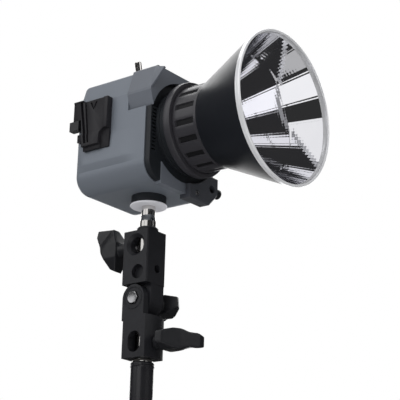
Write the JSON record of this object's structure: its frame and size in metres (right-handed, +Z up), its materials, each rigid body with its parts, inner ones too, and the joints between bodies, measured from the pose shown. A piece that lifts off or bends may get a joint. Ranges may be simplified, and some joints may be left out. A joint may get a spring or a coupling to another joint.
{
  "type": "follow spot",
  "caption": "Compact LED follow spot head with a bright cone reflector and side battery plate, clamped by its spigot in a tilting two-socket bracket on a stand top tube",
  "frame": {"origin": "centre of the lower end of the stand top tube, where the rest of a stand joins", "axes": "+Z up along the stand; the beam leaves along -Y; the battery plate is on the -X side"},
  "size_m": [0.1476, 0.2268, 0.3432],
  "materials": {
    "black_paint": "matt black powder coat",
    "grey_paint": "fine-textured blue-grey paint",
    "black_plastic": "fine-textured black moulding",
    "black_metal": "satin black anodised metal",
    "steel": "zinc-plated steel",
    "bright_steel": "polished chromed steel",
    "aluminium": "plain aluminium",
    "mirror": "bright fluted reflector sheet",
    "glass": "clear glass",
    "ceramic": "yellow phosphor and white ceramic",
    "board_green": "green circuit board",
    "brass": "plain brass"
  },
  "bodies": {
    "stand": {"column_tube": "black_paint", "column_plug": "black_plastic", "stand_stud": "bright_steel", "stand_collar": "black_paint"},
    "lower_bracket": {"lower_socket": "black_paint", "hinge_bolt": "steel", "friction_disc": "black_plastic"},
    "lower_clamp": {"lower_handle": "black_plastic", "lower_clamp_screw": "steel"},
    "upper_bracket": {"upper_socket": "black_paint", "socket_ring": "black_paint"},
    "upper_clamp": {"upper_handle": "black_plastic", "upper_clamp_screw": "steel"},
    "swivel_lever": {"swivel_handle": "black_plastic"},
    "head": {"spigot": "bright_steel", "base_washer": "steel", "base_boss": "aluminium", "base_plate": "aluminium", "base_nut": "steel", "body_shell": "grey_paint", "top_saddle": "grey_paint", "bottom_saddle": "grey_paint", "front_bezel": "black_plastic", "mount_collar": "black_metal", "bayonet_ring": "black_metal", "cover_glass": "glass", "engine_seat": "aluminium", "light_chip": "ceramic", "chip_holder": "ceramic", "light_cup": "mirror", "heat_sink": "aluminium", "chassis_rails": "aluminium", "fan_frame": "black_plastic", "driver_board": "board_green", "board_standoffs": "brass", "board_parts": "black_plastic", "rear_panel": "black_plastic", "panel_screws": "steel", "control_pots": "black_plastic", "display_window": "glass", "rocker_frame": "black_plastic", "power_inlet": "black_metal", "inlet_pins": "brass", "wedge_plate": "black_plastic", "umbrella_holder": "black_plastic", "holder_screw": "steel", "umbrella_tube": "aluminium", "accessory_post": "bright_steel"},
    "fan": {"fan_rotor": "black_plastic"},
    "dimmer": {"dimmer_knob": "black_plastic"},
    "colour": {"colour_knob": "black_plastic"},
    "mode_push": {"mode_button": "black_plastic"},
    "fan_push": {"fan_button": "black_plastic"},
    "rocker": {"power_rocker": "black_plastic"},
    "latch": {"wedge_latch": "black_plastic"},
    "umbrella_clamp": {"umbrella_screw": "steel"},
    "reflector": {"neck_tube": "black_metal", "reflector_cone": "black_metal", "mirror_liner": "mirror", "rim_ring": "aluminium"}
  },
  "joints": [
    {"name": "bracket_pan", "type": "hinge", "parent": "stand", "child": "lower_bracket", "pos_m": [0, 0, 0.053], "axis": [0, 0, 1], "continuous": true},
    {"name": "bracket_tilt", "type": "hinge", "parent": "lower_bracket", "child": "upper_bracket", "pos_m": [0, 0.003, 0.11], "axis": [1, 0, 0], "range_deg": [-90, 90]},
    {"name": "head_pan", "type": "hinge", "parent": "upper_bracket", "child": "head", "pos_m": [0, 0, 0.176], "axis": [0, 0, 1], "continuous": true},
    {"name": "lower_clamp_turn", "type": "hinge", "parent": "lower_bracket", "child": "lower_clamp", "pos_m": [0, -0.0165, 0.068], "axis": [0, -1, 0], "range_deg": [-360, 0]},
    {"name": "upper_clamp_turn", "type": "hinge", "parent": "upper_bracket", "child": "upper_clamp", "pos_m": [0, 0.0217, 0.163], "axis": [0, 1, 0], "range_deg": [-360, 0]},
    {"name": "swivel_lever_turn", "type": "hinge", "parent": "lower_bracket", "child": "swivel_lever", "pos_m": [0.0133, 0.003, 0.11], "axis": [1, 0, 0], "range_deg": [-360, 0]},
    {"name": "reflector_twist", "type": "hinge", "parent": "head", "child": "reflector", "pos_m": [0, -0.056, 0.2694], "axis": [0, -1, 0], "range_deg": [0, 25]},
    {"name": "fan_spin", "type": "hinge", "parent": "head", "child": "fan", "pos_m": [0, 0.0275, 0.2694], "axis": [0, -1, 0], "continuous": true},
    {"name": "dimmer_turn", "type": "hinge", "parent": "head", "child": "dimmer", "pos_m": [0.017, 0.055, 0.2734], "axis": [0, 1, 0], "continuous": true},
    {"name": "colour_turn", "type": "hinge", "parent": "head", "child": "colour", "pos_m": [-0.017, 0.055, 0.2734], "axis": [0, 1, 0], "continuous": true},
    {"name": "mode_press", "type": "slide", "parent": "head", "child": "mode_push", "axis": [0, -1, 0], "range_m": [0, 0.001], "stiffness_N_per_m": 1000, "springref_m": -0.0005},
    {"name": "fan_press", "type": "slide", "parent": "head", "child": "fan_push", "axis": [0, -1, 0], "range_m": [0, 0.001], "stiffness_N_per_m": 1000, "springref_m": -0.0005},
    {"name": "rocker_tilt", "type": "hinge", "parent": "head", "child": "rocker", "pos_m": [-0.017, 0.0485, 0.2394], "axis": [1, 0, 0], "range_deg": [-6, 6]},
    {"name": "latch_press", "type": "slide", "parent": "head", "child": "latch", "axis": [0, 0, -1], "range_m": [0, 0.004], "stiffness_N_per_m": 400, "springref_m": -0.003},
    {"name": "umbrella_clamp_turn", "type": "hinge", "parent": "head", "child": "umbrella_clamp", "pos_m": [0.0508, -0.04, 0.2236], "axis": [1, 0, 0], "range_deg": [-360, 0]}
  ]
}
